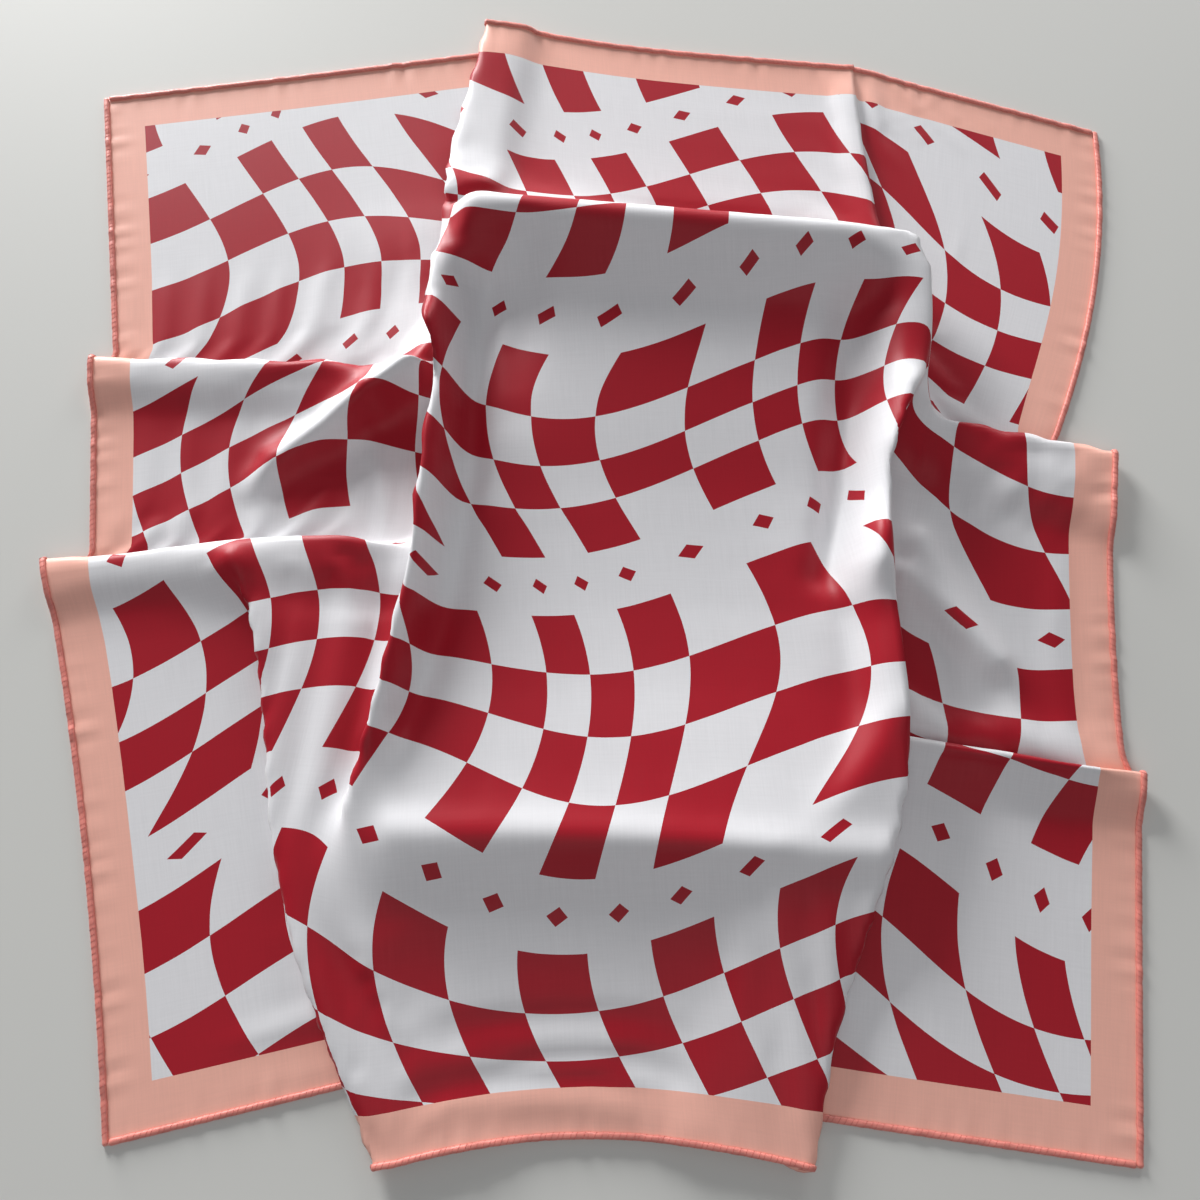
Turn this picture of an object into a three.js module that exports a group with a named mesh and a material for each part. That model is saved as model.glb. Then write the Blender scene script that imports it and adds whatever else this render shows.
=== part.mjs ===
// Square satin scarf laid out on a table: one square of cloth with a rolled hem on each side.
// The cloth is tucked into four flat pleats at its side hems and into long upright folds beside
// its raised middle. Millimetres, +Z up, the table at z = 0.
import * as THREE from 'three';

// ---- driving sizes ----
const cutSize = 700;            // side of the square of cloth before it is laid
const wall = 1.0;               // thickness of the cloth wall
const hemWidth = 4.0;           // width of the rolled hem
const hemRise = 0.2;            // how far the rolled hem stands above the cloth's upper face
const seamGap = 0.7;            // cloth left out between the cloth and its hems; less across a pleat
const creaseRun = 2.0;          // cloth in the round of a folded edge
const creaseDrop = 2.8;         // height between two layers just inside a folded edge
const pleatRun = 22;            // cloth over which a pleat's upper layer comes down again
const crestHeight = 190;        // where the raised crest runs, at the middle of the left flap
const crestSlope = -0.13;       // the crest sinks to the right
const crestBack = 36;           // cloth in the steep back of the crest
const middleLift = 31;          // how far the middle of the cloth lies from its flat place
const originX = 12.5;           // middle of the laid scarf in the tables' own places; the part's
const originY = 27.5;           // origin is under it
const half = cutSize / 2;

// Sections across the cloth, one row for each height t on the flat square. S values are places
// on the flat cloth, tucks are how deep the cloth goes back under a fold, Z values are heights.
// slip is how far the middle has moved to the right.
const sections = [
  { t: -350, slip: 20, flapS: -134, flapTuck: 42, flapZ: 6, ridgeS: -100, ridgeTuck: 0, ridgeZ: 6,
    midZ: 2, rightS: 86, rightTuck: 52, rightZ: 6 },
  { t: -280, slip: 18, flapS: -166, flapTuck: 38, flapZ: 7, ridgeS: -125, ridgeTuck: 0, ridgeZ: 8,
    midZ: 5, rightS: 112, rightTuck: 46, rightZ: 8 },
  { t: -215, slip: 15, flapS: -190, flapTuck: 32, flapZ: 8, ridgeS: -158, ridgeTuck: 0, ridgeZ: 15,
    midZ: 9, rightS: 138, rightTuck: 40, rightZ: 15 },
  { t: -150, slip: 14, flapS: -211, flapTuck: 18, flapZ: 8, ridgeS: -137, ridgeTuck: 9, ridgeZ: 21,
    midZ: 13, rightS: 156, rightTuck: 33, rightZ: 21 },
  { t: -100, slip: 13, flapS: -232, flapTuck: 8, flapZ: 8, ridgeS: -123, ridgeTuck: 15, ridgeZ: 25,
    midZ: 11, rightS: 158, rightTuck: 33, rightZ: 24 },
  { t: -60, slip: 12, flapS: -245, flapTuck: 0, flapZ: 4, ridgeS: -114, ridgeTuck: 17, ridgeZ: 27,
    midZ: 9, rightS: 159, rightTuck: 31, rightZ: 26 },
  { t: 0, slip: 11, flapS: -250, flapTuck: 0, flapZ: 0, ridgeS: -104, ridgeTuck: 23, ridgeZ: 29,
    midZ: 8, rightS: 164, rightTuck: 28, rightZ: 28 },
  { t: 40, slip: 10, flapS: -250, flapTuck: 0, flapZ: 0, ridgeS: -98, ridgeTuck: 24, ridgeZ: 29,
    midZ: 8, rightS: 178, rightTuck: 23, rightZ: 26 },
  { t: 76, slip: 10, flapS: -250, flapTuck: 0, flapZ: 0, ridgeS: -94, ridgeTuck: 24, ridgeZ: 28,
    midZ: 8, rightS: 200, rightTuck: 21, rightZ: 20 },
  { t: 104, slip: 9, flapS: -250, flapTuck: 0, flapZ: 0, ridgeS: -92, ridgeTuck: 24, ridgeZ: 28,
    midZ: 10, rightS: 208, rightTuck: 29, rightZ: 22 },
  { t: 130, slip: 8, flapS: -250, flapTuck: 0, flapZ: 0, ridgeS: -90, ridgeTuck: 25, ridgeZ: 28,
    midZ: 16, rightS: 205, rightTuck: 32, rightZ: 27 },
  { t: 162, slip: 7, flapS: -250, flapTuck: 0, flapZ: 0, ridgeS: -91, ridgeTuck: 26, ridgeZ: 28,
    midZ: 26, rightS: 197, rightTuck: 28, rightZ: 29 },
  { t: 190, slip: 6, flapS: -250, flapTuck: 0, flapZ: 0, ridgeS: -92, ridgeTuck: 27, ridgeZ: 27,
    midZ: 33, rightS: 190, rightTuck: 20, rightZ: 15 },
  { t: 216, slip: 6, flapS: -250, flapTuck: 0, flapZ: 0, ridgeS: -89, ridgeTuck: 27, ridgeZ: 20,
    midZ: 12, rightS: 186, rightTuck: 15, rightZ: 8 },
  { t: 250, slip: 5, flapS: -250, flapTuck: 0, flapZ: 0, ridgeS: -84, ridgeTuck: 24, ridgeZ: 12,
    midZ: 4, rightS: 184, rightTuck: 9, rightZ: 4 },
  { t: 350, slip: 4, flapS: -250, flapTuck: 0, flapZ: 0, ridgeS: -60, ridgeTuck: 20, ridgeZ: 6,
    midZ: 1, rightS: 184, rightTuck: 0, rightZ: 1 },
];

// The side panels between the pleats: where each one's hem lies and how far the panel is turned
// (rise for each mm inward), at its lower and upper end. side is -1 on the left, 1 on the right.
const panels = [
  { side: -1, fromT: -350, toT: -38, fromX: -247, toX: -311, bow: 6, fromTurn: 0.20, toTurn: 0.12 },
  { side: -1, fromT: -2, toT: 126, fromX: -283, toX: -294, bow: 0, fromTurn: 0.09, toTurn: 0.07 },
  { side: -1, fromT: 162, toT: 350, fromX: -281, toX: -304, bow: 0, fromTurn: 0.10, toTurn: 0.10 },
  { side: 1, fromT: -350, toT: -156, fromX: 266, toX: 297, bow: 0, fromTurn: 0.17, toTurn: 0.18 },
  { side: 1, fromT: -130, toT: 49, fromX: 289, toX: 312, bow: -3, fromTurn: 0.16, toTurn: 0.14 },
  { side: 1, fromT: 132, toT: 350, fromX: 277, toX: 336, bow: 13, fromTurn: 0.28, toTurn: 0.24 },
];
const panelLift = { left: 50, right: 25 };   // how far the lowest side panels have moved up

// The flat pleats at the side hems: where the folded edge meets the hem, its slope inward, how
// deep the tuck is there, how it changes inward, and the height of one layer on the next.
const pleats = [
  { side: -1, t: 126, slope: -0.15, depth: 18, change: 0.00, layer: 3.2 },
  { side: -1, t: -38, slope: -0.04, depth: 18, change: 0.00, layer: 3.2 },
  { side: 1, t: 49, slope: 0.19, depth: 40, change: -0.11, layer: 3.2 },
  { side: 1, t: -156, slope: 0.03, depth: 9, change: 0.05, layer: 3.4 },
];

// Soft ridges and troughs from one place on the flat cloth to another, with the height at each
// end and the half width.
const ridges = [
  { fromS: -142, fromT: 94, toS: -228, toT: 46, fromZ: 12, toZ: 3, width: 13 },
  { fromS: -70, fromT: 150, toS: -66, toT: -20, fromZ: -8, toZ: -1, width: 15 },
  { fromS: 168, fromT: 120, toS: 134, toT: -45, fromZ: -6, toZ: -4, width: 12 },
  { fromS: 238, fromT: -10, toS: 290, toT: -88, fromZ: 9, toZ: 3, width: 11 },
  { fromS: -120, fromT: -172, toS: 140, toT: -188, fromZ: 7, toZ: 7, width: 24 },
  { fromS: 178, fromT: 100, toS: 176, toT: 70, fromZ: 5, toZ: 5, width: 13 },
  { fromS: 152, fromT: -34, toS: 142, toT: -62, fromZ: 7, toZ: 5, width: 13 },
  { fromS: -243, fromT: -60, toS: -232, toT: -110, fromZ: 7, toZ: 2, width: 9 },
];

// ---- small helpers ----
const clamp = (v, low, high) => Math.min(Math.max(v, low), high);
const mix = (a, b, u) => a + (b - a) * u;

// 0 before a, 1 past b, and a smooth step between
function step(a, b, v) {
  const u = clamp((v - a) / (b - a), 0, 1);
  return u * u * (3 - 2 * u);
}

// the sections' values at height t, on a smooth line through the rows that never overshoots
function sectionAt(t) {
  const last = sections.length - 1;
  let row = 0;
  while (row < last - 1 && sections[row + 1].t <= t) row += 1;
  const low = sections[row];
  const high = sections[row + 1];
  const run = high.t - low.t;
  const u = (t - low.t) / run;
  const rise = (key, k) => (sections[k + 1][key] - sections[k][key]) / (sections[k + 1].t - sections[k].t);
  const slopeAt = (key, k) => {
    if (k === 0) return rise(key, 0);
    if (k === last) return rise(key, last - 1);
    const before = rise(key, k - 1);
    const after = rise(key, k);
    return before * after > 0 ? (2 * before * after) / (before + after) : 0;
  };
  const found = {};
  for (const key of Object.keys(low)) {
    const startSlope = slopeAt(key, row) * run;
    const endSlope = slopeAt(key, row + 1) * run;
    found[key] = (2 * u ** 3 - 3 * u ** 2 + 1) * low[key] + (u ** 3 - 2 * u ** 2 + u) * startSlope
      + (3 * u ** 2 - 2 * u ** 3) * high[key] + (u ** 3 - u ** 2) * endSlope;
  }
  return found;
}

// where the side hem lies at height t, and the turn of its panel
function hemAt(side, t) {
  const own = panels.filter((panel) => panel.side === side);
  for (let k = 0; k < own.length; k += 1) {
    const panel = own[k];
    if (t <= panel.toT || k === own.length - 1) {
      const u = clamp((t - panel.fromT) / (panel.toT - panel.fromT), 0, 1);
      const x = mix(panel.fromX, panel.toX, u) + panel.bow * 4 * u * (1 - u);
      return { x, turn: mix(panel.fromTurn, panel.toTurn, u) };
    }
    const next = own[k + 1];
    if (t < next.fromT) {
      // the hidden layers shift sideways between their creases, and not at them
      const crease = (panel.toT + next.fromT) / 2;
      const u = (step(panel.toT, crease, t) + step(crease, next.fromT, t)) / 2;
      return { x: mix(panel.toX, next.fromX, u), turn: mix(panel.toTurn, next.fromTurn, u) };
    }
  }
  return null;
}

const inward = (side, s) => half - side * s;
const pleatLine = (pleat, s) => pleat.t + pleat.slope * inward(pleat.side, s);
const pleatDepth = (pleat, s) => Math.max(pleat.depth + pleat.change * inward(pleat.side, s), 0);

// height of a folded-under layer, u from 0 at its lower crease to 1 at its upper one
function tuckedHeight(u, width, low, high) {
  const run = Math.min(0.25, creaseRun / Math.max(width, 1e-6));
  const drop = Math.min(creaseDrop, (high - low) / 2) * step(0, 6, width);
  if (u < run) return low + (drop * u) / run;
  if (u > 1 - run) return high - (drop * (1 - u)) / run;
  return mix(low + drop, high - drop, (u - run) / (1 - 2 * run));
}

function ridgeHeight(s, t) {
  let z = 0;
  for (const ridge of ridges) {
    const runS = ridge.toS - ridge.fromS;
    const runT = ridge.toT - ridge.fromT;
    const along = (s - ridge.fromS) * runS + (t - ridge.fromT) * runT;
    const u = clamp(along / (runS ** 2 + runT ** 2), 0, 1);
    const away = (s - ridge.fromS - u * runS) ** 2 + (t - ridge.fromT - u * runT) ** 2;
    z += mix(ridge.fromZ, ridge.toZ, u) * Math.exp(-away / ridge.width ** 2);
  }
  return z;
}

// the shift along y and the height that the flat pleats of one side give
function pleatShift(side, s, t) {
  let y = 0;
  let z = 0;
  for (const pleat of pleats) {
    if (pleat.side !== side) continue;
    const depth = pleatDepth(pleat, s);
    const past = t - pleatLine(pleat, s);
    y -= 2 * clamp(past, 0, depth);
    if (past <= 0) z += 2 * pleat.layer * step(-(depth + pleatRun), -depth, past);
    else if (past < depth) z += tuckedHeight(1 - past / depth, depth, 0, 2 * pleat.layer);
  }
  return { y, z };
}

// The folds that run up the cloth at height t: their places s on the flat cloth, from the left
// hem to the right one, with where each lies (x) and how high (z).
function foldsAt(t) {
  const row = sectionAt(t);
  const leftHem = hemAt(-1, t);
  const rightHem = hemAt(1, t);
  const ridgeX = row.ridgeS + row.slip;
  const rightX = row.rightS + row.slip;
  const ridgeIn = row.ridgeS - row.ridgeTuck;
  const tuckX = ridgeX + row.ridgeTuck;
  // where there is no flap, the left panel runs evenly from its hem to the ridge
  const evenX = leftHem.x + ((tuckX - leftHem.x) * (row.flapS + half)) / (ridgeIn + half);
  const flapped = step(0, 6, row.flapTuck);
  const flapX = mix(evenX, tuckX - 0.97 * (ridgeIn - row.flapS), flapped);
  const underRight = mix(row.rightZ * 0.8, Math.min(row.rightZ * 0.25, 6), step(0, 6, row.rightTuck));
  const folds = [
    { s: -half, x: leftHem.x, z: 0 },
    { s: row.flapS - row.flapTuck, x: flapX + row.flapTuck, z: row.flapZ * (1 - flapped) },
    { s: row.flapS, x: flapX, z: row.flapZ },
    { s: ridgeIn, x: tuckX, z: Math.min(row.ridgeZ * 0.25, 6) },
    { s: row.ridgeS, x: ridgeX, z: row.ridgeZ },
    { s: row.rightS, x: rightX, z: row.rightZ },
    { s: row.rightS + row.rightTuck, x: rightX - row.rightTuck, z: underRight },
    { s: half, x: rightHem.x, z: 0 },
  ];
  return { row, leftHem, rightHem, folds };
}

// height of the raised middle between its left ridge and its right fold
function middleHeight(s, t, row) {
  const midZ = sectionAt(Math.min(t - crestSlope * (s + 60) * step(60, 140, t), half)).midZ;
  const overTuck = row.ridgeTuck * step(180, 240, t);
  const overRight = (row.rightTuck + 4) * (1 - step(-215, -120, t));
  const fromRidge = Math.max(s - row.ridgeS - overTuck, 0);
  const fromRight = Math.max(row.rightS - s - overRight, 0);
  return midZ + (row.ridgeZ - midZ) * Math.exp(-((fromRidge / 26) ** 2))
    + (row.rightZ - midZ) * Math.exp(-((fromRight / 24) ** 2));
}

// x and height across the cloth at one section
function acrossAt(s, t, section) {
  const { folds, row } = section;
  let k = 0;
  while (k < folds.length - 2 && s > folds[k + 1].s) k += 1;
  const from = folds[k];
  const to = folds[k + 1];
  const width = Math.max(to.s - from.s, 1e-6);
  const u = clamp((s - from.s) / width, 0, 1);
  let z;
  if (k === 0) z = to.z * Math.exp(-(((s - to.s) / 30) ** 2));
  else if (k === 1 || k === 3) z = tuckedHeight(u, width, from.z, to.z);
  else if (k === 2 && row.flapTuck > 6) z = mix(from.z, Math.max(from.z, to.z), step(0.6, 1, u));
  else if (k === 2) z = mix(from.z, to.z, step(0, 1, u));
  else if (k === 4) z = middleHeight(s, t, row);
  else if (k === 5) z = tuckedHeight(1 - u, width, to.z, from.z);
  else z = to.z + (from.z - to.z) * Math.exp(-(((s - from.s) / 30) ** 2));
  return { x: mix(from.x, to.x, u), z };
}

// where the point (s, t) of the flat cloth lies
function place(s, t) {
  const section = foldsAt(t);
  const { row, leftHem, rightHem } = section;
  const { x, z } = acrossAt(s, t, section);

  // along y: the middle, with its crest, and the side panels, with their pleats
  const behind = step(0, crestBack + 0.06 * (s + 60), t - (crestHeight + crestSlope * (s + 60)));
  const low = 1 - step(-270, -150, t);
  const hangs = 14 - 8 * Math.min(((s + 24) / 110) ** 2, 1.2);
  const flapCorner = 9 * step(230, 350, t) * Math.exp(-(((s + 60) / 70) ** 2));
  const middleY = t + mix(middleLift, 21 - 0.14 * (s + 60), behind) + low * hangs + flapCorner;
  const leftPleats = pleatShift(-1, Math.min(s, 0), t);
  const rightPleats = pleatShift(1, Math.max(s, 0), t);
  const leftY = t + panelLift.left + leftHem.turn * (x - leftHem.x) + leftPleats.y;
  const rightY = t + panelLift.right + rightHem.turn * (rightHem.x - x) + rightPleats.y;

  // the change from side to middle hides in the tucks, or spreads out where there is none
  const flapIn = row.flapS - row.flapTuck;
  const ridgeIn = row.ridgeS - row.ridgeTuck;
  const ridgeOpen = 1 - step(0, 10, row.ridgeTuck);
  const rightOpen = 1 - step(0, 10, row.rightTuck);
  const pastFlap = step(0, 1, (s - flapIn) / Math.max(row.flapTuck, 14));
  const pastRidge = step(0, 1, (s - ridgeIn + 16 * ridgeOpen) / (row.ridgeTuck + 26 * ridgeOpen + 1e-6));
  const pastRight = step(0, 1, (s - row.rightS + 12 * rightOpen) / (row.rightTuck + 52 * rightOpen + 1e-6));
  const toMiddle = mix(pastFlap, pastRidge, step(-290, -40, t));
  const y = mix(mix(leftY, middleY, toMiddle), rightY, pastRight);
  const pleatZ = s < 0 ? leftPleats.z * (1 - pastRidge) : rightPleats.z * pastRight;
  const height = z + pleatZ + ridgeHeight(s, t) + wall / 2;
  return new THREE.Vector3(x - originX, y - originY, height);
}

// ---- the net of lines on the flat cloth that the walls are built on ----
// Columns follow the upright folds and rows follow the pleats, so each crease is a line of the net.
const clothEdge = half - hemWidth - seamGap;
const leastTuck = 5;
const stripsAcross = [7, 3, 4, 3, 11, 3, 6];   // strips of cloth from one upright fold to the next

function columnPlaces(t) {
  const row = sectionAt(t);
  const guides = [
    -clothEdge,
    row.flapS - Math.max(row.flapTuck, leastTuck),
    row.flapS,
    row.ridgeS - Math.max(row.ridgeTuck, leastTuck),
    row.ridgeS,
    row.rightS,
    row.rightS + Math.max(row.rightTuck, leastTuck),
    clothEdge,
  ];
  const places = [];
  stripsAcross.forEach((count, k) => {
    const width = guides[k + 1] - guides[k];
    const tucked = k === 1 || k === 3 || k === 5;
    const round = Math.min(creaseRun, width / 3);
    for (let i = 0; i < count; i += 1) {
      const even = (width * i) / count;
      const nearCrease = [0, round, width - round][i];
      places.push(guides[k] + (tucked ? nearCrease : even));
    }
  });
  places.push(clothEdge);
  return places;
}

// A row of the net is given by its height at the left hem and at the right one, with its slope
// inward from each; between the side panels it runs straight.
const levelRow = (t) => ({ left: t, leftSlope: 0, right: t, rightSlope: 0 });

const pleatRow = (left, right, depths, offset) => ({
  left: left.t + depths * left.depth + offset,
  leftSlope: left.slope + depths * left.change,
  right: right.t + depths * right.depth + offset,
  rightSlope: right.slope + depths * right.change,
});

const crestRow = (offset) => ({
  left: crestHeight - crestSlope * (half - 60) + offset,
  leftSlope: crestSlope,
  right: crestHeight + crestSlope * (half + 60) + offset,
  rightSlope: -crestSlope,
});

function mixRow(a, b, u) {
  const row = {};
  for (const key of Object.keys(a)) row[key] = mix(a[key], b[key], u);
  return row;
}

// from each of these rows to the next, the cloth has the given number of strips
function rowsUp() {
  const aroundPleat = (left, right) => [
    [pleatRow(left, right, -1, -pleatRun), 2],
    [pleatRow(left, right, -1, 0), 2],
    [pleatRow(left, right, 0, 0), 1],
    [pleatRow(left, right, 0, creaseRun), 1],
    [pleatRow(left, right, 1, -creaseRun), 1],
  ];
  const [upperLeft, lowerLeft, upperRight, lowerRight] = pleats;
  const guides = [
    [levelRow(-clothEdge), 8],
    ...aroundPleat(lowerLeft, lowerRight),
    [pleatRow(lowerLeft, lowerRight, 1, 0), 5],
    ...aroundPleat(upperLeft, upperRight),
    [pleatRow(upperLeft, upperRight, 1, 0), 3],
    [crestRow(0), 4],
    [crestRow(crestBack), 5],
    [levelRow(clothEdge), 1],
  ];
  const rows = [];
  guides.forEach(([guide, count], k) => {
    const next = k + 1 < guides.length ? guides[k + 1][0] : guide;
    const strips = k + 1 < guides.length ? count : 1;
    for (let i = 0; i < strips; i += 1) rows.push(mixRow(guide, next, i / strips));
  });
  return rows;
}

const leftInner = -100;     // where the rows leave the left panels' slopes
const rightInner = 190;     // and the right panels' slopes

function rowHeight(row, s) {
  const leftT = row.left + row.leftSlope * (Math.min(s, leftInner) + half);
  const rightT = row.right + row.rightSlope * (half - Math.max(s, rightInner));
  return mix(leftT, rightT, clamp((s - leftInner) / (rightInner - leftInner), 0, 1));
}

// the flat place where a row crosses a column
function crossing(row, column) {
  let s = 0;
  let t = rowHeight(row, s);
  for (let i = 0; i < 12; i += 1) {
    s = columnPlaces(t)[column];
    t = rowHeight(row, s);
  }
  return [s, t];
}

// ---- walls ----
// A wall of cloth on a net of points: below and above are its faces' distances from the net.
function wallOnNet(net, below, above) {
  const rowCount = net.length;
  const columnCount = net[0].length;
  const at = (i, j) => net[clamp(i, 0, rowCount - 1)][clamp(j, 0, columnCount - 1)];
  const toward = (from, to) => to.clone().sub(from).normalize();
  const lower = [];
  const upper = [];
  for (let i = 0; i < rowCount; i += 1) {
    for (let j = 0; j < columnCount; j += 1) {
      const across = toward(at(i, j - 1), at(i, j)).add(toward(at(i, j), at(i, j + 1)));
      const along = toward(at(i - 1, j), at(i, j)).add(toward(at(i, j), at(i + 1, j)));
      const normal = across.cross(along).normalize();
      lower.push(at(i, j).clone().addScaledVector(normal, -below));
      upper.push(at(i, j).clone().addScaledVector(normal, above));
    }
  }
  const top = rowCount * columnCount;
  const index = [];
  const quad = (a, b, c, d) => index.push(a, b, c, a, c, d);
  const id = (i, j) => i * columnCount + j;
  for (let i = 0; i + 1 < rowCount; i += 1) {
    for (let j = 0; j + 1 < columnCount; j += 1) {
      quad(top + id(i, j), top + id(i, j + 1), top + id(i + 1, j + 1), top + id(i + 1, j));
      quad(id(i, j), id(i + 1, j), id(i + 1, j + 1), id(i, j + 1));
    }
  }
  const side = (a, b) => quad(a, b, top + b, top + a);
  for (let j = 0; j + 1 < columnCount; j += 1) {
    side(id(0, j), id(0, j + 1));
    side(id(rowCount - 1, j + 1), id(rowCount - 1, j));
  }
  for (let i = 0; i + 1 < rowCount; i += 1) {
    side(id(i + 1, 0), id(i, 0));
    side(id(i, columnCount - 1), id(i + 1, columnCount - 1));
  }
  const geometry = new THREE.BufferGeometry();
  geometry.setFromPoints([...lower, ...upper]);
  geometry.setIndex(index);
  geometry.computeVertexNormals();
  return geometry;
}

const rows = rowsUp();
const columns = columnPlaces(0).map((_, column) => column);
const hemSteps = [half - hemWidth, half - hemWidth / 2, half];

function clothNet() {
  return rows.map((row) => columns.map((column) => place(...crossing(row, column))));
}

// the hem along the near (end -1) or the far edge (end 1)
function endHemNet(end) {
  const heights = hemSteps.map((reach) => end * reach).sort((a, b) => a - b);
  return heights.map((t) => columnPlaces(t).map((s) => place(s, t)));
}

// the hem along the left (side -1) or the right edge (side 1), corners included
function sideHemNet(side) {
  const places = hemSteps.map((reach) => side * reach).sort((a, b) => a - b);
  const cornerRows = [levelRow(-half), ...rows, levelRow(half)];
  return cornerRows.map((row) => places.map((s) => place(s, rowHeight(row, s))));
}

// ---- the scarf ----
const satin = new THREE.MeshStandardMaterial({ color: 0xc9848b, roughness: 0.42, metalness: 0 });
const hemThread = new THREE.MeshStandardMaterial({ color: 0xe58a7c, roughness: 0.5, metalness: 0 });
const scarf = new THREE.Group();

function addPiece(name, net, below, above, material) {
  const mesh = new THREE.Mesh(wallOnNet(net, below, above), material);
  mesh.name = name;
  scarf.add(mesh);
}

const hemTop = wall / 2 + hemRise;
addPiece('scarf_cloth', clothNet(), wall / 2, wall / 2, satin);
addPiece('hem_near', endHemNet(-1), wall / 2, hemTop, hemThread);
addPiece('hem_far', endHemNet(1), wall / 2, hemTop, hemThread);
addPiece('hem_left', sideHemNet(-1), wall / 2, hemTop, hemThread);
addPiece('hem_right', sideHemNet(1), wall / 2, hemTop, hemThread);

export default scarf;
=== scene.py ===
import math

import bpy
import numpy as np
from mathutils import Matrix, Vector
from mathutils.kdtree import KDTree


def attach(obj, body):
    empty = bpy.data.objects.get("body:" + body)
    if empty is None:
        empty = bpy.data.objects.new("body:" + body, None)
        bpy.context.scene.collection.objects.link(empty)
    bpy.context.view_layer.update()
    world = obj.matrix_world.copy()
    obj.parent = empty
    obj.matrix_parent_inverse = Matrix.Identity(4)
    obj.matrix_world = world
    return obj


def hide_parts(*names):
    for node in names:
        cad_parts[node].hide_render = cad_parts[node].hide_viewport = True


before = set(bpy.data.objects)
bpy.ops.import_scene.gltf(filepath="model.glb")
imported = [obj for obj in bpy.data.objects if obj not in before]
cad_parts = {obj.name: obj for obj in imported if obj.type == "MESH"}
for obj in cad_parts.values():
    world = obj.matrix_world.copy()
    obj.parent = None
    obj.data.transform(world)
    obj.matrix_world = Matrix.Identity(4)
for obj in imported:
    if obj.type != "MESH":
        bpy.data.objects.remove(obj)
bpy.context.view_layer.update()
mm = 0.001      # the scarf's places and sizes below are in millimetres
print("frame loaded:", ", ".join(sorted(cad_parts)))


# camera, standing over the near edge and looking down on the table
cameraSet = {
    "place": (-0.00377, -0.23979, 0.62685),
    "tilt": 16.69,      # degrees away from straight down
    "roll": -1.85,
    "lens": 34.68,
}


def makeCamera():
    bpy.ops.object.camera_add()
    camera = bpy.context.object
    camera.name = "view_camera"
    camera.data.lens = cameraSet["lens"]
    turn = Matrix.Rotation(math.radians(cameraSet["tilt"]), 4, "X")
    roll = Matrix.Rotation(math.radians(cameraSet["roll"]), 4, "Z")
    camera.matrix_world = Matrix.Translation(cameraSet["place"]) @ turn @ roll
    bpy.context.scene.camera = camera


# the scarf's own sizes on the flat square: s runs across it and t up it, both 0 in the middle
scarfSet = {
    "half": 350,            # half the side of the square
    "border": 25,           # plain border, hem included
    "thick": 0.35,          # cloth
    "clearTable": 0.05,     # least height of the underside
    "originX": 12.5,        # middle of the laid scarf in the places below
    "originY": 27.5,
    "middleLift": 32,       # how far up the table the middle lies
    "leftLift": 50,         # and the side panels
    "rightLift": 25,
    "creaseRun": 2.0,       # a tucked layer drops this far within this run of its crease
    "creaseDrop": 2.8,
    "pleatRun": 22,         # cloth rises over a flat pleat within this run
    "hiddenShare": 0.25,    # height of a hidden crease against the fold above it
    "hiddenMost": 6,
    "shoulder": 30,         # how far beside a fold its height is felt
    "gridCells": 220,       # cells along each side of the finished cloth
}
half = scarfSet["half"]

# the middle: its raised crest, the rolls at its two sides, and how it is drawn up the table
middleSet = {
    "crestT": 183,          # where the crest runs, at crestS
    "crestS": -60,
    "crestSlope": -0.13,
    "crestBack": 46,        # its steep back, which widens to the right
    "backWiden": 0.06,
    "backLift": 17,         # how far up the table the cloth behind it lies
    "backSlant": 0.14,
    "leftRoll": 34,         # width of the rolls, and how much narrower or wider they become
    "leftNarrow": 20,
    "rightRoll": 20,
    "rightWiden": 12,
    "bowS": -24,            # the middle is drawn up most at bowS and less to the sides
    "bowReach": 110,
    "bowMost": 1.2,
    "drawn": 14,
    "drawnBow": 8,
    "drawnTop": 0.5,        # share of it below the crest, and more below the near lip
    "drawnLow": 0.22,
    "hemUp": 5,             # the near hem's own bow and slant
    "hemBow": 10,
    "hemSlant": 0.03,
    "cornerUp": 9,          # the far hem's raised left end
    "cornerReach": 70,
}

# the upright folds at each height t: places s, depth of each tuck, and heights of the folds
sectionNames = ("t", "slip", "flapS", "flapTuck", "flapZ", "ridgeS", "ridgeTuck", "ridgeZ",
                "midZ", "rightS", "rightTuck", "rightZ")
sectionRows = [
    (-350, 20, -134, 42, 6, -100, 0, 6, 2, 86, 52, 6),
    (-280, 18, -166, 38, 7, -125, 0, 8, 4, 112, 46, 8),
    (-235, 16, -182, 34, 8, -146, 0, 13, 10, 130, 42, 14),
    (-200, 15, -195, 28, 8, -152, 3, 18, 21, 144, 38, 20),
    (-150, 14, -211, 18, 8, -137, 9, 24, 15, 156, 33, 25),
    (-100, 13, -232, 8, 8, -123, 15, 28, 8, 158, 33, 28),
    (-60, 12, -245, 0, 4, -114, 17, 29, 6, 159, 31, 27),
    (0, 11, -250, 0, 0, -104, 23, 31, 7, 164, 28, 29),
    (40, 10, -250, 0, 0, -98, 24, 32, 10, 178, 23, 28),
    (76, 10, -250, 0, 0, -94, 24, 28, 11.5, 200, 25, 25),
    (104, 9, -250, 0, 0, -99, 24, 28, 12.5, 208, 30, 28),
    (130, 8, -250, 0, 0, -97, 25, 30, 15, 205, 33, 30),
    (158, 7, -250, 0, 0, -92, 26, 25, 27, 197, 29, 31),
    (183, 6, -250, 0, 0, -88, 26, 19, 39, 190, 24, 19),
    (216, 6, -250, 0, 0, -89, 28, 21, 14, 186, 17, 8),
    (250, 5, -250, 0, 0, -84, 27, 12, 4, 184, 11, 4),
    (350, 4, -250, 0, 0, -60, 21, 6, 1, 184, 3, 1),
]

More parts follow.
